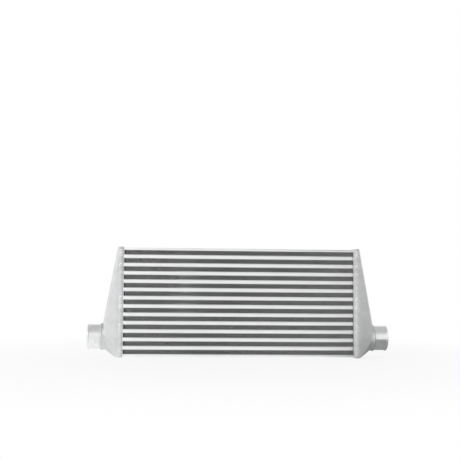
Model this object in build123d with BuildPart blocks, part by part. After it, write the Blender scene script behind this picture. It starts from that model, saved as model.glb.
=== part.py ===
from build123d import *
from math import atan2, cos, hypot, tan
import os

# Bar-and-plate intercooler: a brazed core between two cast end tanks.
# Millimetres. X runs along the core, Y front (-) to back (+), Z up.
# The origin is at the bottom centre, under the weld that the part stands on.

# ---- driving dimensions ----------------------------------------------------

# core
core_length = 600.0        # over the end bars
core_depth = 76.0          # over the noses of the long bars
fin_rows = 13
fin_height = 11.0
fin_pitch = 25.0           # one full wave of an ambient fin
fin_gauge = 0.3
fin_setback = 1.0          # fin edge behind the milled face
passage_height = 8.8       # between two parting sheets
sheet_gauge = 0.6
long_bar_width = 7.0       # without its nose
nose_height = 1.0
nose_slope = 50.0          # degrees drawn in on every side of a nose
nose_end_gap = 2.5         # nose stops short of the end bars
end_bar_width = 6.0
turbulator_pitch = 15.0    # one full wave of a turbulator
turbulator_gauge = 0.3
strip_clearance = 0.3      # corrugated strip to the bars at its ends
side_plate_gauge = 6.0
side_plate_chamfer = 1.0

# end tanks
tank_wall = 4.0
flange_step = 2.0          # tank flange stands proud of the milled core
flange_length = 10.0       # parallel stretch beside the seam
tank_top_reach = 11.0      # seam to the outer face at the top
shoulder_reach = 45.5      # seam to the outer face just above the neck
shoulder_rise = 36.0       # shoulder above the spigot axis
underside_start = 12.0     # seam to where the underside starts to rise
neck_setback = 4.5         # shoulder to where the neck form has become round
neck_length = 5.5          # shoulder to the face that carries the spigot
spigot_axis_rise = 48.0    # spigot axis above the bottom of the core
tank_edge_radius = 7.0     # round on the outer edges and over the top
inner_edge_radius = 3.0    # upright corners of the cavity

# spigots
spigot_diameter = 63.5
spigot_wall = 2.5
spigot_length = 35.0
bead_rise = 1.6
bead_width = 5.0
bead_flank = 1.5           # sloping side of the bead, along the axis

# welds
weld_land = 0.3            # height at the toes of the core weld
weld_crown = 1.2           # crown above the tank flange
weld_toe_core = 1.5        # toe on the core, from the seam
weld_flank = 2.5           # sloping side of the core weld, along the core
neck_weld_leg = 3.0
neck_weld_crown = 1.5

# ---- derived sizes ---------------------------------------------------------

row_pitch = fin_height + passage_height + 2 * sheet_gauge
passages = fin_rows - 1
fin_stack = fin_rows * fin_height + passages * (row_pitch - fin_height)
core_height = fin_stack + 2 * side_plate_gauge
milled_depth = core_depth - 2 * nose_height
seam = core_length / 2
core_bottom = flange_step + weld_crown
first_row = core_bottom + side_plate_gauge
row_length = core_length - 2 * end_bar_width

flange_depth = milled_depth + 2 * flange_step
flange_bottom = core_bottom - flange_step
flange_top = core_bottom + core_height + flange_step
spigot_axis = core_bottom + spigot_axis_rise
spigot_radius = spigot_diameter / 2
bore_radius = spigot_radius - spigot_wall
neck_radius = bore_radius + tank_wall
neck_start = shoulder_reach - neck_setback
neck_end = shoulder_reach + neck_length
spigot_line = Axis((0, 0, spigot_axis), (1, 0, 0))

# the square-to-round cone reaches the flange's lower corners; a wall drawn in by t
# moves its ends towards the core by neck_shift * t
flange_corner = hypot(flange_depth / 2, spigot_axis - flange_bottom)
cone_angle = atan2(flange_corner - neck_radius, neck_start - flange_length)
neck_shift = tan(cone_angle / 2)

on_base = (Align.CENTER, Align.CENTER, Align.MIN)

os.makedirs("parts", exist_ok=True)


def save(builder, name):
    """Label a finished piece and write its STEP file."""
    builder.part.label = name
    export_step(builder.part, f"parts/{name}.step")


def front_plane(z, y=0.0):
    """Plane facing the front, with its own X along the core and Y up."""
    return Plane(origin=(0, y, z), x_dir=(1, 0, 0), z_dir=(0, -1, 0))


def end_plane(x, z):
    """Plane facing +X, with its own X towards the back and Y up."""
    return Plane(origin=(x, 0, z), x_dir=(0, 1, 0), z_dir=(1, 0, 0))


def wave_outline(length, height, pitch, gauge):
    """Closed outline of a corrugated strip that stands on zero."""
    waves = max(1, round(length / pitch))
    half_wave = length / (2 * waves)
    lift = gauge / cos(atan2(height, half_wave))
    crest = height - lift
    lower = [(i * half_wave - length / 2, crest * (i % 2)) for i in range(2 * waves + 1)]
    upper = [(x, z + lift) for x, z in reversed(lower)]
    return lower + upper


# ---- core ------------------------------------------------------------------

def make_fin_row(name, z):
    """Ambient fin strip: the wave runs along the core, the air front to back."""
    length = row_length - 2 * strip_clearance
    with BuildPart() as fin_row:
        with BuildSketch(front_plane(z)):
            with BuildLine():
                Polyline(*wave_outline(length, fin_height, fin_pitch, fin_gauge), close=True)
            make_face()
        extrude(amount=milled_depth / 2 - fin_setback, both=True)
    save(fin_row, name)


def make_turbulator(name, z):
    """Charge-side strip: the wave runs front to back, the air along the core."""
    width = milled_depth - 2 * long_bar_width - 2 * strip_clearance
    outline = wave_outline(width, passage_height, turbulator_pitch, turbulator_gauge)
    with BuildPart() as turbulator:
        with BuildSketch(end_plane(0, z)):
            with BuildLine():
                Polyline(*outline, close=True)
            make_face()
        extrude(amount=seam, both=True)
    save(turbulator, name)


def make_parting_sheets(name, z):
    """The two sheets that bound one charge passage."""
    with BuildPart() as sheets:
        with Locations((0, 0, z - sheet_gauge), (0, 0, z + passage_height)):
            Box(core_length, milled_depth, sheet_gauge, align=on_base)
    save(sheets, name)


def make_long_bars(name, z):
    """Front and rear bars of one passage; each nose stops short of the milled ends."""
    nose_length = row_length - 2 * nose_end_gap
    with BuildPart() as bars:
        with BuildSketch(front_plane(z, long_bar_width - milled_depth / 2)):
            Rectangle(core_length, passage_height, align=(Align.CENTER, Align.MIN))
        extrude(amount=long_bar_width)
        with BuildSketch(front_plane(z, -milled_depth / 2)):
            Rectangle(nose_length, passage_height, align=(Align.CENTER, Align.MIN))
        extrude(amount=nose_height, taper=nose_slope)
        mirror(about=Plane.XZ)
    save(bars, name)


def make_end_bars(name, side):
    """Short bars that close one end of every fin row."""
    x = side * (seam - end_bar_width / 2)
    with BuildPart() as end_bars:
        with Locations(*[(x, 0, first_row + i * row_pitch) for i in range(fin_rows)]):
            Box(end_bar_width, milled_depth, fin_height, align=on_base)
    save(end_bars, name)


def make_side_plate(name, z, faces_up):
    """Plate over the outermost fin row, with its outer long edges broken."""
    with BuildPart() as plate:
        with Locations((0, 0, z)):
            Box(core_length, milled_depth, side_plate_gauge, align=on_base)
        outer = plate.faces().sort_by(Axis.Z)[-1 if faces_up else 0]
        chamfer(outer.edges().filter_by(Axis.X), side_plate_chamfer)
    save(plate, name)


# ---- end tanks -------------------------------------------------------------

def neck_envelope(inset):
    """Flange box, upper box and square-to-round cone that hold the tank between them."""
    shift = inset * neck_shift
    cone_start = seam + flange_length - shift
    cone_end = seam + neck_start - shift
    shoulder = seam + shoulder_reach - inset
    depth = flange_depth - 2 * inset
    with BuildPart() as envelope:
        with BuildSketch(end_plane(seam - inset, flange_bottom)):
            Rectangle(depth, flange_top - flange_bottom, align=(Align.CENTER, Align.MIN))
        extrude(amount=cone_start - seam + inset)
        with BuildSketch(end_plane(seam - inset, spigot_axis)):
            Rectangle(depth, flange_top - spigot_axis, align=(Align.CENTER, Align.MIN))
        extrude(amount=shoulder - seam + inset)
        with BuildSketch(front_plane(spigot_axis)):
            with BuildLine():
                Polyline(
                    (cone_start, 0),
                    (cone_start, flange_corner - inset),
                    (cone_end, neck_radius - inset),
                    (shoulder, neck_radius - inset),
                    (shoulder, 0),
                    close=True,
                )
            make_face()
        revolve(axis=spigot_line)
    return envelope.part


def tank_form(inset, edge_radius, rounded_top):
    """Right-hand tank as one solid, with every wall drawn in by inset."""
    half_depth = flange_depth / 2 - inset
    taper = (flange_depth / 2 - neck_radius) / (neck_start - flange_length)
    shift = inset * neck_shift
    parallel_end = flange_length - shift
    start = seam - inset
    shoulder = seam + shoulder_reach - inset
    top = flange_top - inset
    bottom = flange_bottom + inset
    neck_bottom = spigot_axis - neck_radius + inset
    with BuildPart() as form:
        # plan: the sides close in towards the neck, and the envelope cuts them
        # parallel beside the seam
        with BuildSketch(Plane.XY.offset(bottom)):
            with BuildLine():
                Polyline(
                    (start, 0),
                    (start, half_depth + taper * (parallel_end + inset)),
                    (shoulder, half_depth - taper * (shoulder_reach - inset - parallel_end)),
                    (shoulder, 0),
                    close=True,
                )
            make_face()
            mirror(about=Plane.XZ)
        extrude(amount=top - bottom)
        # front view: rising underside, upright shoulder, sloping outer face
        with BuildSketch(front_plane(0)):
            with BuildLine():
                Polyline(
                    (start, bottom),
                    (seam + underside_start - shift, bottom),
                    (seam + neck_start - shift, neck_bottom),
                    (shoulder, neck_bottom),
                    (shoulder, spigot_axis + shoulder_rise),
                    (seam + tank_top_reach - inset, top),
                    (start, top),
                    close=True,
                )
            make_face()
        extrude(amount=flange_depth, both=True, mode=Mode.INTERSECT)
        # one round over the outer corners and, on the outside, over the top
        outer_faces = form.faces().filter_by(
            lambda face: face.normal_at().X > abs(face.normal_at().Y) + abs(face.normal_at().Z)
        )
        corner_edges = outer_faces.edges().filter_by(Axis.Y, reverse=True)
        cap_edges = form.faces().sort_by(Axis.Z)[-1].edges().filter_by(
            lambda edge: edge.center().X > seam
        )
        fillet(set(corner_edges + cap_edges) if rounded_top else corner_edges, edge_radius)
        # square flange that the core weld runs over
        with BuildSketch(end_plane(start, bottom)):
            Rectangle(2 * half_depth, top - bottom, align=(Align.CENTER, Align.MIN))
        extrude(amount=parallel_end + inset)
        add(neck_envelope(inset), mode=Mode.INTERSECT)
        # neck
        with BuildSketch(end_plane(seam + neck_start - shift, spigot_axis)):
            Circle(neck_radius - inset)
        extrude(amount=neck_end - neck_start + shift)
    return form.part


def make_tanks():
    """Hollow cast tanks, open to the core at the seam and to the spigot at the neck."""
    with BuildPart() as right_tank:
        add(tank_form(0.0, tank_edge_radius, rounded_top=True))
        add(tank_form(tank_wall, inner_edge_radius, rounded_top=False), mode=Mode.SUBTRACT)
    save(right_tank, "right_tank")
    with BuildPart() as left_tank:
        add(mirror(right_tank.part, about=Plane.YZ))
    save(left_tank, "left_tank")


# ---- spigots ---------------------------------------------------------------

def make_spigots():
    """Tube stubs on the neck faces, each with a raised hose bead at its end."""
    tube_start = seam + neck_end
    tube_end = tube_start + spigot_length
    bead_start = tube_end - bead_width
    with BuildPart() as right_spigot:
        with BuildSketch(front_plane(spigot_axis)):
            with BuildLine():
                Polyline(
                    (tube_start, bore_radius),
                    (tube_start, spigot_radius),
                    (bead_start, spigot_radius),
                    (bead_start + bead_flank, spigot_radius + bead_rise),
                    (tube_end - bead_flank, spigot_radius + bead_rise),
                    (tube_end, spigot_radius),
                    (tube_end, bore_radius),
                    close=True,
                )
            make_face()
        revolve(axis=spigot_line)
    save(right_spigot, "right_spigot")
    with BuildPart() as left_spigot:
        add(mirror(right_spigot.part, about=Plane.YZ))
    save(left_spigot, "left_spigot")


# ---- welds -----------------------------------------------------------------

def make_core_welds():
    """Bead round each seam, from the milled core up over the step of the flange."""
    half_depth = milled_depth / 2
    half_height = core_height / 2
    crown = -flange_step - weld_crown
    tank_toe = seam + flange_length
    core_toe = seam - weld_toe_core
    with BuildPart() as right_weld:
        with BuildLine(end_plane(seam, core_bottom + half_height)) as seam_line:
            Polyline(
                (0, -half_height),
                (half_depth, -half_height),
                (half_depth, half_height),
                (-half_depth, half_height),
                (-half_depth, -half_height),
                (0, -half_height),
            )
        with BuildSketch(front_plane(core_bottom)):
            with BuildLine():
                Polyline(
                    (core_toe, 0),
                    (core_toe, -weld_land),
                    (seam, crown + weld_crown / 2),
                    (seam + weld_flank, crown),
                    (tank_toe - weld_flank, crown),
                    (tank_toe, -flange_step - weld_land),
                    (tank_toe, -flange_step),
                    (seam, -flange_step),
                    (seam, 0),
                    close=True,
                )
            make_face()
        sweep(path=seam_line.line, transition=Transition.RIGHT)
    save(right_weld, "right_core_weld")
    with BuildPart() as left_weld:
        add(mirror(right_weld.part, about=Plane.YZ))
    save(left_weld, "left_core_weld")


def make_spigot_welds():
    """Ring of weld in the step between each neck and its spigot."""
    step = seam + neck_end
    with BuildPart() as welds:
        with BuildSketch(front_plane(spigot_axis)):
            with BuildLine():
                Polyline(
                    (step - neck_weld_leg, neck_radius),
                    (step, neck_radius + neck_weld_crown),
                    (step + neck_weld_leg, spigot_radius),
                    (step, spigot_radius),
                    (step, neck_radius),
                    close=True,
                )
            make_face()
        revolve(axis=spigot_line)
        mirror(about=Plane.YZ)
    save(welds, "spigot_welds")


# ---- write every piece -----------------------------------------------------

for row in range(fin_rows):
    make_fin_row(f"fin_row_{row + 1:02d}", first_row + row * row_pitch)

for passage in range(passages):
    number = f"{passage + 1:02d}"
    passage_floor = first_row + passage * row_pitch + fin_height + sheet_gauge
    make_turbulator(f"turbulator_{number}", passage_floor)
    make_parting_sheets(f"parting_sheets_{number}", passage_floor)
    make_long_bars(f"long_bars_{number}", passage_floor)

make_end_bars("end_bars_left", -1)
make_end_bars("end_bars_right", 1)
make_side_plate("bottom_plate", core_bottom, False)
make_side_plate("top_plate", core_bottom + core_height - side_plate_gauge, True)
make_tanks()
make_spigots()
make_core_welds()
make_spigot_welds()
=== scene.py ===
from math import cos, pi, radians, sin

import bmesh
import bpy
from mathutils import Matrix, Vector


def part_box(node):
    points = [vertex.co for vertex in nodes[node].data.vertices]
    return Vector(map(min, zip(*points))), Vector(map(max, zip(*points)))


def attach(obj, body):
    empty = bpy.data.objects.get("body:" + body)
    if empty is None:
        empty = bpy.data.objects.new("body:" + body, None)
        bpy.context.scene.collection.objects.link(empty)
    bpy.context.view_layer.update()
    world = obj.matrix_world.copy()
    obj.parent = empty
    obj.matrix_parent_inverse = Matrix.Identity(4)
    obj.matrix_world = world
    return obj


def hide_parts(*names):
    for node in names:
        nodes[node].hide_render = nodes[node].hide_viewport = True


# Intercooler: finned core, cast tanks, turned spigots and rippled welds in a white studio.
# Metres. X runs along the core, Y front (-) to back (+), Z up.

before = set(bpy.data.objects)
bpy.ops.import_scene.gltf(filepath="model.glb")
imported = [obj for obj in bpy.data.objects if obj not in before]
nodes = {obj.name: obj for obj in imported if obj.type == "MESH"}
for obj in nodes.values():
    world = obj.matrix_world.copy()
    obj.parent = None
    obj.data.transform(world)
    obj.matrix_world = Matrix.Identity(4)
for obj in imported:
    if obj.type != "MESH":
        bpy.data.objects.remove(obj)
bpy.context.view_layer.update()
MM = 0.001
SIDES = (("right", 1.0), ("left", -1.0))    # name and direction along X

# ---- sizes read from the frame ---------------------------------------------

FIN_ROWS = sum(name.startswith("fin_row_") for name in nodes)
PASSAGES = sum(name.startswith("long_bars_") for name in nodes)

plate_low, plate_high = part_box("bottom_plate")
tank_low, tank_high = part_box("right_tank")
spigot_low, spigot_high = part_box("right_spigot")
weld_low, weld_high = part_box("right_core_weld")
end_bar_low, end_bar_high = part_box("end_bars_right")

SEAM = plate_high.x
FIN_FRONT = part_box("fin_row_01")[1].y
BAR_FRONT = end_bar_high.y
BAR_END = end_bar_low.x
NOSE_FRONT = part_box("long_bars_01")[1].y
CORE_HALF_DEPTH = plate_high.y
CORE_BOTTOM = plate_low.z
CORE_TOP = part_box("top_plate")[1].z
FLANGE_HALF_DEPTH = tank_high.y
FLANGE_BOTTOM = tank_low.z
FLANGE_TOP = tank_high.z
SPIGOT_AXIS = (spigot_low.z + spigot_high.z) / 2
NECK_END = spigot_low.x
SPIGOT_END = spigot_high.x

# ---- sizes of what is only dressed here ------------------------------------

FIN_PITCH = 5.08 * MM          # one full wave of the real strip
FIN_FLAT = 0.5 * MM            # flat crest that is brazed to a sheet
FIN_SHEET = 0.42 * MM
FIN_SWAY = 3.0 * MM            # sideways step of the herringbone
FIN_SWAY_LENGTH = 9.0 * MM
FIN_END_GAP = 0.3 * MM
FIN_ENTRY_LEAN = 0.5 * MM      # over the straight first step
FIN_BRIGHT_DEPTH = 7.0 * MM    # metal at the faces keeps its own tone; past it the strip is painted darker as shade
FIN_DARK_DEPTH = 10.0 * MM

BAR_BEVEL = 0.7 * MM
PLATE_BEVEL = 0.8 * MM
END_BAR_BEVEL = 0.5 * MM
BEVEL_SEGMENTS = 3
BEVEL_ANGLE = 30               # degrees; edges sharper than this get a small round
FLAT_ANGLE = 1                 # degrees; faces within it are one plane
BAR_UNSHADED_DEPTH = 0.5 * MM      # behind the end bars' faces; from here the crevices are painted darker as shade
BAR_SHADE_DEPTH = 1.5 * MM
JOINT_SHADE_LENGTH = 1.0 * MM    # bars are painted darker as shade over this length beside the right weld

END_JOINT_WIDTH = 1.2 * MM     # groove between a bar's nose and the end bars
END_JOINT_DEPTH = 5.0 * MM

CAST_VOXEL = 1.2 * MM
CAST_SMOOTHING = 6
CAST_WAVINESS = 0.25 * MM
CAST_WAVE_LENGTH = 18.0 * MM

SPIGOT_RADIUS = 31.75 * MM
SPIGOT_WALL = 2.5 * MM
SPIGOT_EASE = 0.3 * MM         # at the edges of its open end
SPIGOT_FACETS = 128
BEAD_RISE = spigot_high.y - SPIGOT_RADIUS
BEAD_WIDTH = 5.0 * MM
BEAD_ROUND_SHARE = 0.86        # of its width; the rest is the plain lip
BEAD_STEPS = 10
NECK_RADIUS = 33.25 * MM

CORE_WELD_CROWN = 1.1 * MM
CORE_WELD_SLOPE = 1.5 * MM     # over which it climbs from the core to the flange
CORE_WELD_SCALLOP = 1.5 * MM   # how far its toes run in and out
CORE_WELD_RIPPLE = 7.0 * MM
CORE_WELD_RIPPLE_DEPTH = 0.75  # share of the crown
RING_WELD_CROWN = 1.3 * MM
RING_WELD_LEG = 3.0 * MM
RING_WELD_SCALLOP = 0.8 * MM
RING_WELD_RIPPLE = 5.0 * MM
RING_WELD_RIPPLE_DEPTH = 0.6
RIPPLE_STATIONS = 12           # stations along one ripple
RIPPLE_BOW = 0.9               # how far a ripple's ends run ahead of its middle, in ripples
RIPPLE_RISE = 0.75             # share of a ripple before it drops
SCALLOP_POWER = 3.0            # a higher one keeps the scallops to the gaps between ripples
WELD_SECTION_POINTS = 32
WELD_ARCH_POWER = 0.6          # below 1, the section is fuller than a half circle
WELD_THINNEST = 0.75           # share of the crown
WELD_SWELLS = 90.0             # per metre
SEAM_CORNER_RADIUS = 2.0 * MM
SEAM_CORNER_STEPS = 6
RING_STATIONS = 180
# how far each core weld is laid over the core, beyond the solid's place
WELD_OVER_CORE = {"right": 0.5 * MM, "left": 3.0 * MM}

MERGE_DISTANCE = 0.005 * MM    # loose corners of the solids' triangles
WELD_MERGE_DISTANCE = 0.0001 * MM
SHARP_ANGLE = 40               # degrees; edges sharper than this keep a crisp shade
WELD_SHARP_ANGLE = 60

# lines of brushed metal, per metre along X, Y and Z
LINES_ALONG_BAR = (6.0, 900.0, 900.0)
LINES_ROUND_SPIGOT = (1500.0, 8.0, 8.0)
NOISE_RANGE = (0.3, 0.7)       # holds most of what a noise texture gives

# ---- levels of the studio --------------------------------------------------

FLOOR_HALF = 14.0
FLOOR_COLOUR = (0.93, 0.93, 0.93)
FLOOR_ROUGHNESS = 0.9
FLOOR_SHEEN = 0.1
FLOOR_WHITE_NEAR = 0.82        # share of plain white near the object
FLOOR_FADE_START = 0.35
FLOOR_FADE_END = 1.1
FLOOR_MIRROR_SHARE = 0.95      # share of plain white that shiny metal sees
DIM_SPOT = (0.64, 0.0, 0.0)    # painted shadow on the floor beside the right-hand spigot, seen only by shiny metal
DIM_SPOT_LEVEL = 0.32
DIM_SPOT_CORE = 0.27
DIM_SPOT_EDGE = 0.45

# edges of the studio's walls, as parts of a direction
DIM_STRIP_NEAR_EDGE = (0.26, 0.45)
DIM_STRIP_FAR_EDGE = (0.72, 0.92)
REAR_WALL_EDGE = (-0.1, 0.35)
CEILING_EDGE = (0.4, 0.9)
DIM_FRONT_LEVEL = 0.25         # dim strip of wall in front, to the right
CEILING_LEVEL = 0.6

SUN_DIRECTION = (-0.75, -0.65, 0.5)
SUN_SPREAD = 45                # degrees
SUN_POWER = 0.42

CAMERA_SENSOR = 36.0           # mm, as the lens
CAMERA_LENS = 62.6
CAMERA_CLIP = (0.1, 60.0)
CAMERA_TARGET = (-0.0236, 0.0, 0.3291)
CAMERA_DISTANCE = 2.092
CAMERA_YAW = 3.10              # degrees, as the next two
CAMERA_PITCH = -4.18
CAMERA_ROLL = 0.47


# ---- node helpers ----------------------------------------------------------

class Wiring:
    """Short way to add nodes and links to one node tree."""

    def __init__(self, tree):
        self.tree = tree

    def add(self, kind, inputs=None, **settings):
        """New node with its settings made and the inputs fed that are given by name."""
        node = self.tree.nodes.new(kind)
        for name, value in settings.items():
            setattr(node, name, value)
        for name, value in (inputs or {}).items():
            self.feed(node.inputs[name], value)
        return node

    def feed(self, socket, value):
        """Link another node's output to a socket, or give the socket a plain value."""
        if isinstance(value, bpy.types.NodeSocket):
            self.tree.links.new(value, socket)
        else:
            socket.default_value = value

    def fed_in_order(self, values, kind, **settings):
        """Outputs of a new node whose inputs are fed from the first on."""
        node = self.add(kind, **settings)
        for socket, value in zip(node.inputs, values):
            self.feed(socket, value)
        return node.outputs

    def math(self, operation, *values):
        return self.fed_in_order(values, "ShaderNodeMath", operation=operation)[0]

    def plus(self, first, second):
        return self.math("ADD", first, second)

    def minus(self, first, second):
        return self.math("SUBTRACT", first, second)

    def times(self, first, second):
        return self.math("MULTIPLY", first, second)

    def over(self, first, second):
        return self.math("DIVIDE", first, second)

    def vector(self, operation, *values):
        outputs = self.fed_in_order(values, "ShaderNodeVectorMath", operation=operation)
        return outputs["Value" if operation in ("LENGTH", "DISTANCE") else "Vector"]

    def scaled(self, vector, factor):
        inputs = {"Vector": vector, "Scale": factor}
        return self.add("ShaderNodeVectorMath", inputs, operation="SCALE").outputs["Vector"]

    def combine(self, x=0.0, y=0.0, z=0.0):
        return self.fed_in_order((x, y, z), "ShaderNodeCombineXYZ")[0]

    def separate(self, value):
        return self.fed_in_order((value,), "ShaderNodeSeparateXYZ")

    def ramp(self, value, low, high, from_low=0.0, from_high=1.0, smooth=True):
        """Map a range of values onto low to high."""
        inputs = {"Value": value, "From Min": from_low, "From Max": from_high,
                  "To Min": low, "To Max": high}
        kind = "SMOOTHSTEP" if smooth else "LINEAR"
        return self.add("ShaderNodeMapRange", inputs, interpolation_type=kind).outputs["Result"]


def start_group(name, tree_type, inputs, outputs):
    """New node group with named sockets: returns it with its wiring and its sockets inside.

    Each socket is its name, its type and, where it has one, its default value.
    """
    group = bpy.data.node_groups.new(name, tree_type)
    for in_out, sockets in (("INPUT", inputs), ("OUTPUT", outputs)):
        for socket_name, kind, *default in sockets:
            socket = group.interface.new_socket(name=socket_name, in_out=in_out,
                                                socket_type="NodeSocket" + kind)
            if default:
                socket.default_value = default[0]
    wiring = Wiring(group)
    inlet = wiring.add("NodeGroupInput").outputs
    outlet = wiring.add("NodeGroupOutput").inputs
    return group, wiring, inlet, outlet


# ---- mesh helpers ----------------------------------------------------------

def link_object(name, data):
    """Put a mesh, a curve, a lamp or a camera into the scene."""
    item = bpy.data.objects.new(name, data)
    bpy.context.scene.collection.objects.link(item)
    return item


def merged_form(node_name):
    """A CAD node's form with the corners of its loose triangles joined."""
    shape = bmesh.new()
    shape.from_mesh(nodes[node_name].data)
    bmesh.ops.remove_doubles(shape, verts=shape.verts, dist=MERGE_DISTANCE)
    return shape


def finished_mesh(shape, name):
    """Turn a form into a mesh and let go of the form."""
    mesh = bpy.data.meshes.new(name)
    shape.to_mesh(mesh)
    shape.free()
    return mesh


def applied(piece):
    """The piece's mesh as its modifiers leave it."""
    evaluated = piece.evaluated_get(bpy.context.evaluated_depsgraph_get())
    return bpy.data.meshes.new_from_object(evaluated)


def bake_tree(name, tree, values, source):
    """Run a geometry tree on a source object and keep its result as a plain mesh."""
    modifier = source.modifiers.new("tree", "NODES")
    modifier.node_group = tree
    identifiers = {
        item.name: item.identifier
        for item in tree.interface.items_tree
        if item.item_type == "SOCKET" and item.in_out == "INPUT"
    }
    for socket_name, value in values.items():
        modifier[identifiers[socket_name]] = value
    mesh = applied(source)
    source.modifiers.remove(modifier)
    bpy.data.objects.remove(source)
    mesh.name = name
    return link_object(name, mesh)


def paint(mesh, material):
    """Give the whole mesh one material."""
    mesh.materials.clear()
    mesh.materials.append(material)


def smooth_by_angle(mesh, degrees):
    """Smooth shading, with edges sharper than the angle kept crisp."""
    mesh.shade_smooth()
    mesh.set_sharp_from_angle(angle=radians(degrees))


def dress(piece, replaced):
    """Hang a finished piece on the root and hide the CAD node that it stands for."""
    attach(piece, "root")
    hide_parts(replaced)


# ---- shader groups ---------------------------------------------------------

def grain_group():
    """Fine cast or blasted grain and broad blotches."""
    group, wiring, inlet, outlet = start_group("metal_grain", "ShaderNodeTree", (
        ("Vector", "Vector"),
        ("Grains per Metre", "Float", 900.0),
        ("Blotches per Metre", "Float", 40.0),
    ), (
        ("Mask", "Float"),
        ("Blotch", "Float"),
        ("Height", "Float"),
    ))
    fine = wiring.add("ShaderNodeTexNoise", {
        "Vector": inlet["Vector"],
        "Scale": inlet["Grains per Metre"],
        "Detail": 3.0,
        "Roughness": 0.6,
    }).outputs[0]
    pits_per_grain = 0.6
    pits = wiring.add("ShaderNodeTexVoronoi", {
        "Vector": inlet["Vector"],
        "Scale": wiring.times(inlet["Grains per Metre"], pits_per_grain),
    }, feature="SMOOTH_F1").outputs[0]
    blotch = wiring.add("ShaderNodeTexNoise", {
        "Vector": inlet["Vector"],
        "Scale": inlet["Blotches per Metre"],
        "Detail": 4.0,
    }).outputs[0]
    pit_height = 0.6
    wiring.feed(outlet["Mask"], wiring.ramp(fine, 0.0, 1.0, *NOISE_RANGE))
    wiring.feed(outlet["Blotch"], wiring.ramp(blotch, 0.0, 1.0, *NOISE_RANGE))
    wiring.feed(outlet["Height"], wiring.plus(fine, wiring.times(pits, pit_height)))
    return group


def brushed_group():
    """Long fine lines along one axis, for rolled, drawn or turned stock."""
    group, wiring, inlet, outlet = start_group("brushed_lines", "ShaderNodeTree", (
        ("Vector", "Vector"),
        ("Lines per Metre", "Vector", LINES_ALONG_BAR),
    ), (
        ("Mask", "Float"),
        ("Height", "Float"),
    ))
    lines = wiring.add("ShaderNodeTexNoise", {
        "Vector": wiring.vector("MULTIPLY", inlet["Vector"], inlet["Lines per Metre"]),
        "Scale": 1.0,
        "Detail": 2.0,
    }).outputs[0]
    wiring.feed(outlet["Mask"], wiring.ramp(lines, 0.0, 1.0, 0.25, 0.75, smooth=False))
    wiring.feed(outlet["Height"], lines)
    return group


def lighter_edge_group():
    """Mask of convex edges, which are coloured lighter."""
    group, wiring, inlet, outlet = start_group("lighter_edges", "ShaderNodeTree", (
        ("Low", "Float", 0.52),
        ("High", "Float", 0.6),
    ), (
        ("Mask", "Float"),
    ))
    edge = wiring.add("ShaderNodeNewGeometry").outputs["Pointiness"]
    wiring.feed(outlet["Mask"], wiring.ramp(edge, 0.0, 1.0, inlet["Low"], inlet["High"]))
    return group


def painted_deep_shade_group():
    """Mask of what lies deep between the two faces, where the metal is painted darker as shade.

    Dark and Bare are distances from the core's middle plane.
    """
    group, wiring, inlet, outlet = start_group("painted_deep_shade", "ShaderNodeTree", (
        ("Vector", "Vector"),
        ("Dark", "Float", 28.0 * MM),
        ("Bare", "Float", 30.0 * MM),
    ), (
        ("Mask", "Float"),
    ))
    _, deep, _ = wiring.separate(inlet["Vector"])
    wiring.feed(outlet["Mask"], wiring.ramp(wiring.math("ABSOLUTE", deep), 1.0, 0.0,
                                            inlet["Dark"], inlet["Bare"]))
    return group


GRAIN = grain_group()
BRUSHED = brushed_group()
LIGHTER_EDGES = lighter_edge_group()
DEEP_SHADE = painted_deep_shade_group()


# ---- materials -------------------------------------------------------------

def aluminium(level):
    """Bare metal: a grey that leans a little to blue."""
    return (level, level + 0.005, level + 0.01)


def shade_grey(level):
    """Grey for painted shade."""
    return (level, level, level + 0.005)


def start_material(name):
    """New metal material: returns it with its wiring, its shader and Object coordinates."""
    material = bpy.data.materials.new(name)
    material.use_nodes = True
    wiring = Wiring(material.node_tree)
    shader = material.node_tree.nodes["Principled BSDF"]
    shader.inputs["Metallic"].default_value = 1.0
    place = wiring.add("ShaderNodeTexCoord").outputs["Object"]
    return material, wiring, shader, place


def use_group(wiring, group, **values):
    """Place a shader group; an underscore in a value's name stands for a space."""
    inputs = {name.replace("_", " "): value for name, value in values.items()}
    return wiring.add("ShaderNodeGroup", inputs, node_tree=group).outputs


def blend(wiring, share, first, second):
    """Mix of two colours, each a tone or another node's output."""
    node = wiring.add("ShaderNodeMix", {"Factor": share}, data_type="RGBA")
    sockets = [socket for socket in node.inputs if socket.type == "RGBA"]
    for socket, colour in zip(sockets, (first, second)):
        wiring.feed(socket, (*colour, 1.0) if isinstance(colour, tuple) else colour)
    return [socket for socket in node.outputs if socket.type == "RGBA"][0]


def finish_material(wiring, shader, colour, roughness, height, depth, strength):
    """Feed a metal's colour, its roughness and the fine relief of its surface."""
    wiring.feed(shader.inputs["Base Color"], colour)
    wiring.feed(shader.inputs["Roughness"], roughness)
    relief = wiring.add("ShaderNodeBump", {
        "Height": height,
        "Distance": depth,
        "Strength": strength,
    })
    wiring.feed(shader.inputs["Normal"], relief.outputs[0])


def cast_metal():
    material, wiring, shader, place = start_material("sand_cast")
    grain = use_group(wiring, GRAIN, Vector=place, Grains_per_Metre=700.0, Blotches_per_Metre=45.0)
    lighter_edge = use_group(wiring, LIGHTER_EDGES, Low=0.51, High=0.56)["Mask"]
    skin = blend(wiring, grain["Blotch"], aluminium(0.69), aluminium(0.75))
    # convex edges are coloured lighter
    colour = blend(wiring, lighter_edge, skin, aluminium(0.84))
    roughness = wiring.ramp(grain["Mask"], low=0.42, high=0.56, smooth=False)
    finish_material(wiring, shader, colour, roughness, grain["Height"], depth=0.12 * MM, strength=0.7)
    return material


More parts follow.
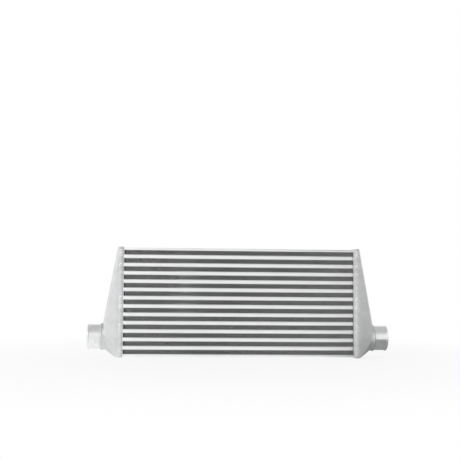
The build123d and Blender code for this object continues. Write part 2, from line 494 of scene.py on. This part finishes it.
def bar_metal(name, dull, bright, with_painted_shade=True):
    """Milled stock; bars in the core get painted shade in their crevices and beside the right weld."""
    material, wiring, shader, place = start_material(name)
    lines = use_group(wiring, BRUSHED, Vector=place, Lines_per_Metre=LINES_ALONG_BAR)
    grain = use_group(wiring, GRAIN, Vector=place, Grains_per_Metre=500.0, Blotches_per_Metre=25.0)
    colour = blend(wiring, grain["Blotch"], aluminium(dull), aluminium(bright))
    if with_painted_shade:
        across, _, _ = wiring.separate(place)
        # painted shade at the joint beside the right weld
        joint_shade = wiring.ramp(across, 0.0, 0.5, BAR_END - JOINT_SHADE_LENGTH, BAR_END)
        colour = blend(wiring, joint_shade, colour, shade_grey(0.55))
        # painted shade deep in the crevices between the bars
        crevice_shade = use_group(wiring, DEEP_SHADE, Vector=place, Dark=BAR_FRONT - BAR_SHADE_DEPTH,
                            Bare=BAR_FRONT - BAR_UNSHADED_DEPTH)["Mask"]
        colour = blend(wiring, crevice_shade, colour, shade_grey(0.16))
    roughness = wiring.ramp(lines["Mask"], low=0.3, high=0.42, smooth=False)
    finish_material(wiring, shader, colour, roughness, lines["Height"], depth=0.03 * MM, strength=0.6)
    return material


def deep_shade_mask(wiring, place):
    """Mask of the strips and sheets deep in the core, which are painted darker as shade."""
    return use_group(wiring, DEEP_SHADE, Vector=place, Dark=FIN_FRONT - FIN_DARK_DEPTH,
                     Bare=FIN_FRONT - FIN_BRIGHT_DEPTH)["Mask"]


def sheet_metal():
    material, wiring, shader, place = start_material("brazed_sheet")
    grain = use_group(wiring, GRAIN, Vector=place, Grains_per_Metre=600.0, Blotches_per_Metre=30.0)
    unshaded_tone = blend(wiring, grain["Blotch"], aluminium(0.62), aluminium(0.74))
    # painted shade: deep in the core the sheets turn dark grey
    colour = blend(wiring, deep_shade_mask(wiring, place), unshaded_tone, shade_grey(0.2))
    roughness = wiring.ramp(grain["Mask"], low=0.34, high=0.5, smooth=False)
    finish_material(wiring, shader, colour, roughness, grain["Height"], depth=0.04 * MM, strength=0.5)
    return material


def fin_metal():
    material, wiring, shader, place = start_material("rolled_fin")
    grain = use_group(wiring, GRAIN, Vector=place, Grains_per_Metre=400.0, Blotches_per_Metre=60.0)
    unshaded_tone = blend(wiring, grain["Blotch"], aluminium(0.9), aluminium(0.95))
    # painted shade: deep in the core the strips turn nearly black
    colour = blend(wiring, deep_shade_mask(wiring, place), unshaded_tone, shade_grey(0.1))
    roughness = wiring.ramp(grain["Mask"], low=0.4, high=0.55, smooth=False)
    finish_material(wiring, shader, colour, roughness, grain["Height"], depth=0.02 * MM, strength=0.4)
    return material


def weld_metal():
    """Silvery crescents, each a little different, with painted shade in the valleys between them and
    along the toes.
    """
    material, wiring, shader, place = start_material("weld_bead")
    grain = use_group(wiring, GRAIN, Vector=place, Grains_per_Metre=800.0, Blotches_per_Metre=160.0)
    marks = {name: wiring.add("ShaderNodeAttribute", attribute_name=name).outputs["Fac"]
             for name in ("ripple", "ripple_number", "crown")}
    own = wiring.add("ShaderNodeTexWhiteNoise", noise_dimensions="1D")
    wiring.feed(own.inputs["W"], wiring.math("ROUND", marks["ripple_number"]))
    own_share = own.outputs["Value"]
    from_middle = wiring.math("ABSOLUTE", wiring.minus(marks["ripple"], 0.5))
    groove = wiring.ramp(from_middle, 0.0, 1.0, from_low=0.25, from_high=0.45)
    toe = wiring.ramp(marks["crown"], 1.0, 0.0, from_low=0.1, from_high=0.5)
    # painted shade in the valleys between ripples, a little deeper near the toes
    valley_shade = wiring.times(groove, wiring.ramp(toe, low=0.75, high=1.0, smooth=False))
    haze = wiring.times(grain["Blotch"], 0.4)
    # painted shade along the toes
    toe_shade = wiring.times(toe, 0.15)
    colour = blend(wiring, own_share, aluminium(0.7), aluminium(0.92))
    colour = blend(wiring, haze, colour, (0.7, 0.7, 0.7))
    colour = blend(wiring, valley_shade, colour, shade_grey(0.12))
    colour = blend(wiring, toe_shade, colour, (0.34, 0.34, 0.35))
    roughness = wiring.ramp(own_share, low=0.42, high=0.24, smooth=False)
    finish_material(wiring, shader, colour, roughness, grain["Height"], depth=0.05 * MM, strength=0.5)
    return material


def polished_metal():
    material, wiring, shader, place = start_material("polished_tube")
    lines = use_group(wiring, BRUSHED, Vector=place, Lines_per_Metre=LINES_ROUND_SPIGOT)
    grain = use_group(wiring, GRAIN, Vector=place, Grains_per_Metre=500.0, Blotches_per_Metre=55.0)
    colour = blend(wiring, grain["Blotch"], aluminium(0.8), aluminium(0.88))
    roughness = wiring.ramp(lines["Mask"], low=0.11, high=0.2, smooth=False)
    finish_material(wiring, shader, colour, roughness, lines["Height"], depth=0.01 * MM, strength=0.5)
    return material


CAST = cast_metal()
BAR = bar_metal("milled_bar", 0.9, 0.95)
PLATE = bar_metal("rolled_plate", 0.87, 0.92, with_painted_shade=False)
# painted shade: the end bars get a darker copy of the bar finish
END_BAR = bar_metal("shaded_end_bar", 0.74, 0.8)
SHEET = sheet_metal()
FIN = fin_metal()
WELD = weld_metal()
POLISHED = polished_metal()


# ---- geometry trees --------------------------------------------------------

def end_tree(wiring, inlet, outlet, geometry):
    """Realize Instances and Set Material, with which both trees end."""
    solid = wiring.add("GeometryNodeRealizeInstances", {"Geometry": geometry})
    painted = wiring.add("GeometryNodeSetMaterial", {
        "Geometry": solid.outputs[0],
        "Material": inlet["Material"],
    })
    wiring.feed(outlet["Geometry"], painted.outputs[0])


def fin_tree():
    """Herringbone strip: trapezoid waves along X, stepped sideways through its depth."""
    tree, wiring, inlet, outlet = start_group("herringbone_fin", "GeometryNodeTree", (
        ("Start", "Vector"),
        ("Waves", "Int", 100),
        ("Pitch", "Float", FIN_PITCH),
        ("Flat", "Float", FIN_FLAT),
        ("Height", "Float", 11.0 * MM),
        ("Steps", "Int", 8),
        ("Step Length", "Float", FIN_SWAY_LENGTH),
        ("Sway", "Float", FIN_SWAY),
        ("Entry Lean", "Float", FIN_ENTRY_LEAN),
        ("Material", "Material"),
    ), (
        ("Geometry", "Geometry"),
    ))
    # a flat grid, whose points are then counted by corner and by station
    wave_corners = 4.0
    corners = wiring.times(inlet["Waves"], wave_corners)
    spans = wiring.minus(corners, 1.0)
    grid = wiring.add("GeometryNodeMeshGrid", {
        "Size X": spans,
        "Size Y": inlet["Steps"],
        "Vertices X": corners,
        "Vertices Y": wiring.plus(inlet["Steps"], 1.0),
    })
    across, deep, _ = wiring.separate(wiring.add("GeometryNodeInputPosition").outputs[0])
    corner = wiring.math("ROUND", wiring.plus(across, wiring.over(spans, 2.0)))
    station = wiring.math("ROUND", wiring.plus(deep, wiring.over(inlet["Steps"], 2.0)))

    # a wave's corners: two on the lower sheet and two on the upper one
    wave = wiring.math("FLOOR", wiring.over(corner, wave_corners))
    part = wiring.math("MODULO", corner, wave_corners)
    raised = wiring.math("GREATER_THAN", part, 1.5)
    past_flat = wiring.math("MODULO", part, 2.0)
    x = wiring.plus(wiring.times(wave, inlet["Pitch"]),
                    wiring.times(raised, wiring.over(inlet["Pitch"], 2.0)))
    x = wiring.plus(x, wiring.times(past_flat, inlet["Flat"]))

    # the strip zigzags between its straight first and last steps
    even_station = wiring.minus(1.0, wiring.math("MODULO", station, 2.0))
    past_first = wiring.math("GREATER_THAN", station, 0.5)
    before_last = wiring.math("LESS_THAN", station, wiring.minus(inlet["Steps"], 0.5))
    drawn_back = wiring.times(wiring.times(even_station, past_first), before_last)
    swayed = wiring.minus(1.0, drawn_back)
    x = wiring.plus(x, wiring.times(swayed, inlet["Sway"]))
    at_front = wiring.math("LESS_THAN", station, 0.5)
    x = wiring.minus(x, wiring.times(at_front, inlet["Entry Lean"]))

    y = wiring.times(station, inlet["Step Length"])
    z = wiring.times(raised, inlet["Height"])
    placed = wiring.add("GeometryNodeSetPosition", {
        "Geometry": grid.outputs["Mesh"],
        "Position": wiring.vector("ADD", wiring.combine(x, y, z), inlet["Start"]),
    })
    end_tree(wiring, inlet, outlet, placed.outputs[0])
    return tree


def weld_tree():
    """Rippled bead along a closed path that lies in a plane across X.

    The toes are distances from the path along X. The core's toe lies lower by Core Drop,
    and the bead's ground climbs from it over Core Slope.
    """
    tree, wiring, inlet, outlet = start_group("rippled_bead", "GeometryNodeTree", (
        ("Path", "Geometry"),
        ("Side", "Float", 1.0),
        ("Core Toe", "Float", -1.5 * MM),
        ("Outer Toe", "Float", 10.0 * MM),
        ("Core Drop", "Float", 2.0 * MM),
        ("Core Slope", "Float", CORE_WELD_SLOPE),
        ("Crown", "Float", CORE_WELD_CROWN),
        ("Ripples", "Int", 200),
        ("Stations", "Int", 1200),
        ("Ripple Depth", "Float", CORE_WELD_RIPPLE_DEPTH),
        ("Scallop", "Float", CORE_WELD_SCALLOP),
        ("Seed", "Int", 1),
        ("Material", "Material"),
    ), (
        ("Geometry", "Geometry"),
    ))

    spaced = wiring.add("GeometryNodeResampleCurve", {
        "Curve": inlet["Path"],
        "Count": inlet["Stations"],
    })
    keep_path = wiring.add("GeometryNodeCaptureAttribute")
    for kind, name in (("VECTOR", "Centre"), ("VECTOR", "Tangent"), ("FLOAT", "Share")):
        keep_path.capture_items.new(kind, name)
    wiring.feed(keep_path.inputs[0], spaced.outputs[0])
    wiring.feed(keep_path.inputs["Centre"], wiring.add("GeometryNodeInputPosition").outputs[0])
    wiring.feed(keep_path.inputs["Tangent"], wiring.add("GeometryNodeInputTangent").outputs[0])
    wiring.feed(keep_path.inputs["Share"], wiring.add("GeometryNodeSplineParameter").outputs["Factor"])

    section = wiring.add("GeometryNodeCurvePrimitiveCircle", {
        "Resolution": WELD_SECTION_POINTS,
        "Radius": 1.0,
    })
    keep_section = wiring.add("GeometryNodeCaptureAttribute")
    keep_section.capture_items.new("FLOAT", "Turn")
    wiring.feed(keep_section.inputs[0], section.outputs[0])
    wiring.feed(keep_section.inputs["Turn"],
                wiring.add("GeometryNodeSplineParameter").outputs["Factor"])

    skin = wiring.add("GeometryNodeCurveToMesh", {
        "Curve": keep_path.outputs[0],
        "Profile Curve": keep_section.outputs[0],
    })

    # across the bead: a smooth arch over ground that lies lower on the core
    angle = wiring.times(keep_section.outputs["Turn"], 2 * pi)
    toward_outer = wiring.math("COSINE", angle)
    even = wiring.ramp(toward_outer, inlet["Core Toe"], inlet["Outer Toe"], -1.0, 1.0, smooth=False)
    lift = wiring.math("MAXIMUM", wiring.math("SINE", angle), 0.0)
    arch = wiring.math("POWER", lift, WELD_ARCH_POWER)
    on_top = wiring.math("GREATER_THAN", lift, 0.001)
    on_core = wiring.math("LESS_THAN", even, 0.0)
    core_ground = wiring.times(inlet["Core Drop"], -1.0)
    hard_ground = wiring.times(core_ground, on_core)
    soft_ground = wiring.ramp(even, core_ground, 0.0, inlet["Core Toe"],
                              wiring.plus(inlet["Core Toe"], inlet["Core Slope"]))

    # each ripple rises slowly and drops sharply, and its ends run ahead of its middle
    bow = wiring.times(wiring.math("POWER", toward_outer, 2.0), -RIPPLE_BOW)
    count = wiring.times(keep_path.outputs["Share"], inlet["Ripples"])
    cell = wiring.plus(count, bow)
    phase = wiring.math("FRACT", cell)
    tooth = wiring.times(phase, wiring.ramp(phase, 1.0, 0.0, from_low=RIPPLE_RISE))

    # the toes run in and out with the ripples
    from_middle = wiring.math("ABSOLUTE", wiring.times(wiring.minus(phase, 0.5), 2.0))
    valley = wiring.math("POWER", from_middle, SCALLOP_POWER)
    drawn_in = wiring.times(wiring.times(valley, inlet["Scallop"]), toward_outer)
    across = wiring.minus(even, drawn_in)

    # the crown swells and thins a little along the path
    unevenness = wiring.add("ShaderNodeTexNoise", noise_dimensions="4D")
    wiring.feed(unevenness.inputs["Vector"], keep_path.outputs["Centre"])
    wiring.feed(unevenness.inputs["W"], inlet["Seed"])
    wiring.feed(unevenness.inputs["Scale"], WELD_SWELLS)
    swell = wiring.ramp(unevenness.outputs[0], WELD_THINNEST, 1.0, *NOISE_RANGE)
    height = wiring.times(wiring.times(inlet["Crown"], arch), swell)
    ripple = wiring.plus(wiring.minus(1.0, inlet["Ripple Depth"]),
                         wiring.times(inlet["Ripple Depth"], tooth))
    top = wiring.plus(soft_ground, wiring.times(height, ripple))
    level = wiring.plus(wiring.times(top, on_top),
                        wiring.times(hard_ground, wiring.minus(1.0, on_top)))

    outward = wiring.vector("CROSS_PRODUCT", keep_path.outputs["Tangent"], (1.0, 0.0, 0.0))
    lifted = wiring.scaled(wiring.vector("NORMALIZE", outward), level)
    sideways = wiring.combine(wiring.times(across, inlet["Side"]))
    beside_path = wiring.vector("ADD", keep_path.outputs["Centre"], sideways)
    placed = wiring.add("GeometryNodeSetPosition", {
        "Geometry": skin.outputs[0],
        "Position": wiring.vector("ADD", beside_path, lifted),
    })
    marked = placed.outputs[0]
    marks = {"ripple": phase, "ripple_number": wiring.math("FLOOR", cell), "crown": lift}
    for name, value in marks.items():
        mark = wiring.add("GeometryNodeStoreNamedAttribute", {
            "Geometry": marked,
            "Name": name,
            "Value": value,
        }, data_type="FLOAT", domain="POINT")
        marked = mark.outputs[0]
    end_tree(wiring, inlet, outlet, marked)
    return tree


# ---- pieces: core ----------------------------------------------------------

def end_joint_cutter():
    """Upright blocks that cut the grooves at the right-hand ends of the long bars.

    At the left-hand ends the weld lies over them.
    """
    shape = bmesh.new()
    deep = 2 * (NOSE_FRONT - BAR_FRONT + END_JOINT_DEPTH)
    size = (END_JOINT_WIDTH, deep, CORE_TOP - CORE_BOTTOM, 1)
    for face in (-1, 1):
        middle = Vector((BAR_END - END_JOINT_WIDTH / 2, face * NOSE_FRONT,
                         (CORE_BOTTOM + CORE_TOP) / 2))
        place = Matrix.Translation(middle) @ Matrix.Diagonal(size)
        bmesh.ops.create_cube(shape, size=1.0, matrix=place)
    return link_object("end_joint_cutter", finished_mesh(shape, "end_joint_cutter"))


def cut_with(mesh, cutter):
    """The mesh with the cutter's blocks taken out of it."""
    blank = link_object("blank", mesh)
    cut = blank.modifiers.new("cut", "BOOLEAN")
    cut.operation = "DIFFERENCE"
    cut.solver = "EXACT"
    cut.object = cutter
    result = applied(blank)
    bpy.data.objects.remove(blank)
    return result


def make_bar_stock(node_name, piece_name, width, material, cutter=None):
    """Bars and plates: the CAD form with small rounds on its edges, cut first where asked."""
    shape = merged_form(node_name)
    if cutter is not None:
        whole = finished_mesh(shape, piece_name + "_whole")
        shape = bmesh.new()
        shape.from_mesh(cut_with(whole, cutter))
        bmesh.ops.remove_doubles(shape, verts=shape.verts, dist=MERGE_DISTANCE)
    bmesh.ops.dissolve_limit(shape, angle_limit=radians(FLAT_ANGLE), verts=shape.verts,
                             edges=shape.edges)
    sharp = [edge for edge in shape.edges
             if len(edge.link_faces) == 2 and edge.calc_face_angle() > radians(BEVEL_ANGLE)]
    bmesh.ops.bevel(shape, geom=sharp, offset=width, offset_type="OFFSET",
                    segments=BEVEL_SEGMENTS, profile=0.5, affect="EDGES", clamp_overlap=True)
    bmesh.ops.recalc_face_normals(shape, faces=shape.faces)
    mesh = finished_mesh(shape, piece_name)
    paint(mesh, material)
    smooth_by_angle(mesh, SHARP_ANGLE)
    dress(link_object(piece_name, mesh), node_name)


def make_fins():
    tree = fin_tree()
    for row in range(1, FIN_ROWS + 1):
        node_name = f"fin_row_{row:02d}"
        name = f"ambient_fins_{row:02d}"
        low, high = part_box(node_name)
        depth = high.y - low.y
        steps = round(depth / FIN_SWAY_LENGTH)
        room = high.x - low.x - FIN_SWAY - FIN_FLAT - 2 * FIN_END_GAP
        waves = int(room / FIN_PITCH)
        blank = link_object(name + "_source", bpy.data.meshes.new(name + "_source"))
        piece = bake_tree(name, tree, {
            "Start": (low.x + FIN_END_GAP, low.y, low.z + FIN_SHEET / 2),
            "Waves": waves,
            "Pitch": room / (waves - 0.5),
            "Flat": FIN_FLAT,
            "Height": high.z - low.z - FIN_SHEET,
            "Steps": steps,
            "Step Length": depth / steps,
            "Sway": FIN_SWAY,
            "Entry Lean": FIN_ENTRY_LEAN,
            "Material": FIN,
        }, blank)
        thickness = piece.modifiers.new("sheet", "SOLIDIFY")
        thickness.thickness = FIN_SHEET
        thickness.offset = 0.0
        dress(piece, node_name)


def make_bars():
    cutter = end_joint_cutter()
    for passage in range(1, PASSAGES + 1):
        make_bar_stock(f"long_bars_{passage:02d}", f"passage_bars_{passage:02d}", BAR_BEVEL, BAR,
                       cutter)
    bpy.data.objects.remove(cutter)
    for side in ("left", "right"):
        make_bar_stock(f"end_bars_{side}", f"short_bars_{side}", END_BAR_BEVEL, END_BAR)
    for end in ("top", "bottom"):
        make_bar_stock(f"{end}_plate", f"side_plate_{end}", PLATE_BEVEL, PLATE)


def paint_inner_nodes():
    """The sheets and turbulators keep their CAD form and get their own finishes."""
    for name, node in nodes.items():
        if name.startswith("parting_sheets_"):
            paint(node.data, SHEET)
        if name.startswith("turbulator_"):
            paint(node.data, FIN)


# ---- pieces: tanks and spigots ---------------------------------------------

def make_tanks():
    """Cast tanks: the CAD form with the soft rounds and faint waves of a sand casting."""
    cast_waves = bpy.data.textures.new("cast_waves", "CLOUDS")
    cast_waves.noise_scale = CAST_WAVE_LENGTH
    cast_waves.noise_depth = 1
    for side, _ in SIDES:
        node_name = f"{side}_tank"
        piece_name = f"cast_tank_{side}"
        mesh = finished_mesh(merged_form(node_name), piece_name)
        paint(mesh, CAST)
        piece = link_object(piece_name, mesh)
        remesh = piece.modifiers.new("remesh", "REMESH")
        remesh.mode = "VOXEL"
        remesh.voxel_size = CAST_VOXEL
        remesh.use_smooth_shade = True
        smooth = piece.modifiers.new("soften", "SMOOTH")
        smooth.factor = 0.5
        smooth.iterations = CAST_SMOOTHING
        wave = piece.modifiers.new("waviness", "DISPLACE")
        wave.texture = cast_waves
        wave.texture_coords = "GLOBAL"
        wave.strength = CAST_WAVINESS
        wave.mid_level = 0.5
        softened = applied(piece)
        piece.modifiers.clear()
        piece.data = softened
        dress(piece, node_name)


def spigot_outline():
    """Distance from the neck and radius, round the wall and back again."""
    length = SPIGOT_END - NECK_END
    inner = SPIGOT_RADIUS - SPIGOT_WALL
    bead_start = length - BEAD_WIDTH
    outline = [(0.0, inner), (0.0, SPIGOT_RADIUS)]
    for step in range(BEAD_STEPS + 1):
        share = step / BEAD_STEPS
        outline.append((bead_start + BEAD_WIDTH * share * BEAD_ROUND_SHARE,
                        SPIGOT_RADIUS + BEAD_RISE * (1 - (2 * share - 1) ** 2)))
    outline += [(length - SPIGOT_EASE, SPIGOT_RADIUS), (length, SPIGOT_RADIUS - SPIGOT_EASE),
                (length, inner + SPIGOT_EASE), (length - SPIGOT_EASE, inner)]
    return outline


def make_spigots():
    """Turned tube stubs with a rounded bead and an eased lip."""
    for side, sign in SIDES:
        shape = bmesh.new()
        rings = []
        for facet in range(SPIGOT_FACETS):
            angle = 2 * pi * facet / SPIGOT_FACETS
            rings.append([
                shape.verts.new((sign * (NECK_END + along), -radius * sin(angle),
                                 SPIGOT_AXIS + radius * cos(angle)))
                for along, radius in spigot_outline()
            ])
        for ring, following in zip(rings, rings[1:] + rings[:1]):
            corners = list(zip(ring, following))
            for (first, second), (fourth, third) in zip(corners, corners[1:] + corners[:1]):
                shape.faces.new((first, second, third, fourth))
        bmesh.ops.recalc_face_normals(shape, faces=shape.faces)
        mesh = finished_mesh(shape, f"hose_spigot_{side}")
        paint(mesh, POLISHED)
        smooth_by_angle(mesh, SHARP_ANGLE)
        dress(link_object(mesh.name, mesh), f"{side}_spigot")


# ---- pieces: welds ---------------------------------------------------------

def closed_path(name, points):
    """Closed poly line as a curve object."""
    curve = bpy.data.curves.new(name, "CURVE")
    curve.dimensions = "3D"
    spline = curve.splines.new("POLY")
    spline.points.add(len(points) - 1)
    for point, place in zip(spline.points, points):
        point.co = (*place, 1.0)
    spline.use_cyclic_u = True
    return link_object(name, curve)


def seam_path(x):
    """Round the flange, with its corners eased, starting in the middle of the bottom."""
    points = [(x, 0.0, FLANGE_BOTTOM)]
    half_y = FLANGE_HALF_DEPTH - SEAM_CORNER_RADIUS
    low_z = FLANGE_BOTTOM + SEAM_CORNER_RADIUS
    high_z = FLANGE_TOP - SEAM_CORNER_RADIUS
    centres = ((half_y, low_z, -90), (half_y, high_z, 0), (-half_y, high_z, 90), (-half_y, low_z, 180))
    for centre_y, centre_z, start in centres:
        for step in range(SEAM_CORNER_STEPS + 1):
            angle = radians(start + 90 * step / SEAM_CORNER_STEPS)
            points.append((x, centre_y + SEAM_CORNER_RADIUS * cos(angle),
                           centre_z + SEAM_CORNER_RADIUS * sin(angle)))
    return points


def ring_path(x):
    """Round the neck, starting at the bottom."""
    points = []
    for station in range(RING_STATIONS):
        angle = 2 * pi * station / RING_STATIONS
        points.append((x, NECK_RADIUS * sin(angle), SPIGOT_AXIS - NECK_RADIUS * cos(angle)))
    return points


def face_outward(mesh):
    """Turn all faces of a closed mesh outward."""
    shape = bmesh.new()
    shape.from_mesh(mesh)
    bmesh.ops.remove_doubles(shape, verts=shape.verts, dist=WELD_MERGE_DISTANCE)
    bmesh.ops.recalc_face_normals(shape, faces=shape.faces)
    shape.to_mesh(mesh)
    shape.free()


def make_weld(tree, name, node_name, points, ripples, sizes):
    """One bead on a closed path, with its ripples spread evenly round it."""
    piece = bake_tree(name, tree, {
        "Ripples": ripples,
        "Stations": ripples * RIPPLE_STATIONS,
        "Material": WELD,
        **sizes,
    }, closed_path(name + "_source", points))
    face_outward(piece.data)
    smooth_by_angle(piece.data, WELD_SHARP_ANGLE)
    dress(piece, node_name)


def make_welds():
    tree = weld_tree()
    flange_girth = 2 * (2 * FLANGE_HALF_DEPTH + FLANGE_TOP - FLANGE_BOTTOM)
    for seed, (side, sign) in enumerate(SIDES, start=1):
        make_weld(tree, f"core_weld_{side}", f"{side}_core_weld", seam_path(sign * SEAM),
                  round(flange_girth / CORE_WELD_RIPPLE), {
                      "Side": sign,
                      "Core Toe": weld_low.x - SEAM - WELD_OVER_CORE[side],
                      "Outer Toe": weld_high.x - SEAM - WELD_OVER_CORE[side],
                      "Core Drop": FLANGE_HALF_DEPTH - CORE_HALF_DEPTH,
                      "Core Slope": CORE_WELD_SLOPE,
                      "Crown": CORE_WELD_CROWN,
                      "Ripple Depth": CORE_WELD_RIPPLE_DEPTH,
                      "Scallop": CORE_WELD_SCALLOP,
                      "Seed": seed,
                  })
    neck_girth = 2 * pi * NECK_RADIUS
    for seed, (side, sign) in enumerate(SIDES, start=3):
        make_weld(tree, f"spigot_weld_{side}", "spigot_welds", ring_path(sign * NECK_END),
                  round(neck_girth / RING_WELD_RIPPLE), {
                      "Side": -sign,
                      "Core Toe": -RING_WELD_LEG,
                      "Outer Toe": RING_WELD_LEG,
                      "Core Drop": NECK_RADIUS - SPIGOT_RADIUS,
                      "Core Slope": RING_WELD_LEG,
                      "Crown": RING_WELD_CROWN,
                      "Ripple Depth": RING_WELD_RIPPLE_DEPTH,
                      "Scallop": RING_WELD_SCALLOP,
                      "Seed": seed,
                  })


# ---- stage, light and camera -----------------------------------------------

def make_stage():
    """Large pale floor: it keeps a soft shadow near the object and fades to plain white."""
    corners = [(x * FLOOR_HALF, y * FLOOR_HALF, 0) for x, y in ((-1, -1), (1, -1), (1, 1), (-1, 1))]
    mesh = bpy.data.meshes.new("studio_floor")
    mesh.from_pydata(corners, [], [(0, 1, 2, 3)])
    floor = link_object("studio_floor", mesh)
    material = bpy.data.materials.new("pale_floor")
    material.use_nodes = True
    wiring = Wiring(material.node_tree)
    shader = material.node_tree.nodes["Principled BSDF"]
    shader.inputs["Base Color"].default_value = (*FLOOR_COLOUR, 1)
    shader.inputs["Roughness"].default_value = FLOOR_ROUGHNESS
    shader.inputs["Specular IOR Level"].default_value = FLOOR_SHEEN
    place = wiring.add("ShaderNodeTexCoord").outputs["Object"]
    distance = wiring.vector("LENGTH", place)
    fade = wiring.ramp(distance, FLOOR_WHITE_NEAR, 1.0, FLOOR_FADE_START, FLOOR_FADE_END)

    # the camera and shiny metal see mostly plain white; beside the spigot the metal sees a painted
    # shadow
    path = wiring.add("ShaderNodeLightPath").outputs
    seen = path["Is Camera Ray"]
    mirrored = wiring.math("MAXIMUM", path["Is Glossy Ray"], path["Is Transmission Ray"])
    share = wiring.math("MAXIMUM", wiring.times(fade, seen), wiring.times(mirrored, FLOOR_MIRROR_SHARE))
    beside = wiring.vector("DISTANCE", place, DIM_SPOT)
    side = wiring.ramp(beside, DIM_SPOT_LEVEL, 1.0, DIM_SPOT_CORE, DIM_SPOT_EDGE)
    white = wiring.add("ShaderNodeEmission", {"Strength": wiring.math("MAXIMUM", seen, side)})
    mix = wiring.add("ShaderNodeMixShader")
    for socket, value in zip(mix.inputs, (share, shader.outputs[0], white.outputs[0])):
        wiring.feed(socket, value)
    wiring.feed(material.node_tree.nodes["Material Output"].inputs["Surface"], mix.outputs[0])
    paint(mesh, material)


def make_world():
    """White backdrop behind; in front a bright left, a dim right and a grey ceiling."""
    world = bpy.data.worlds.new("studio")
    world.use_nodes = True
    bpy.context.scene.world = world
    wiring = Wiring(world.node_tree)
    x, y, z = wiring.separate(wiring.add("ShaderNodeTexCoord").outputs["Generated"])
    strip = wiring.times(wiring.ramp(x, 0.0, 1.0, *DIM_STRIP_NEAR_EDGE),
                         wiring.ramp(x, 1.0, 0.0, *DIM_STRIP_FAR_EDGE))
    front = wiring.ramp(strip, 1.0, DIM_FRONT_LEVEL, smooth=False)
    behind = wiring.ramp(y, 0.0, 1.0, *REAR_WALL_EDGE)
    wall = wiring.plus(wiring.times(front, wiring.minus(1.0, behind)), behind)
    above = wiring.ramp(z, 0.0, 1.0, *CEILING_EDGE)
    level = wiring.plus(wiring.times(wall, wiring.minus(1.0, above)),
                        wiring.times(above, CEILING_LEVEL))
    seen = wiring.add("ShaderNodeLightPath").outputs["Is Camera Ray"]
    background = world.node_tree.nodes["Background"]
    background.inputs["Color"].default_value = (1, 1, 1, 1)
    wiring.feed(background.inputs["Strength"], wiring.math("MAXIMUM", level, seen))


def make_sun():
    """Broad far lamp from the left front, so that the whole floor gets the same light."""
    data = bpy.data.lights.new("key_left", "SUN")
    data.energy = SUN_POWER
    data.angle = radians(SUN_SPREAD)
    lamp = link_object("key_left", data)
    lamp.rotation_euler = (-Vector(SUN_DIRECTION)).to_track_quat("-Z", "Y").to_euler()


def make_camera():
    """Long lens, a little to the left of the middle and low."""
    data = bpy.data.cameras.new("camera")
    data.sensor_width = CAMERA_SENSOR
    data.lens = CAMERA_LENS
    data.clip_start, data.clip_end = CAMERA_CLIP
    camera = link_object("camera", data)
    yaw, pitch = radians(CAMERA_YAW), radians(CAMERA_PITCH)
    back = Vector((-sin(yaw) * cos(pitch), -cos(yaw) * cos(pitch), sin(pitch)))
    roll = Matrix.Rotation(radians(CAMERA_ROLL), 3, "Z").to_quaternion()
    camera.location = Vector(CAMERA_TARGET) + back * CAMERA_DISTANCE
    camera.rotation_mode = "QUATERNION"
    camera.rotation_quaternion = (-back).to_track_quat("-Z", "Y") @ roll
    bpy.context.scene.camera = camera


# ---- build -----------------------------------------------------------------

bpy.context.scene.view_settings.view_transform = "Standard"
make_fins()
make_bars()
paint_inner_nodes()
make_tanks()
make_spigots()
make_welds()
make_stage()
make_world()
make_sun()
make_camera()
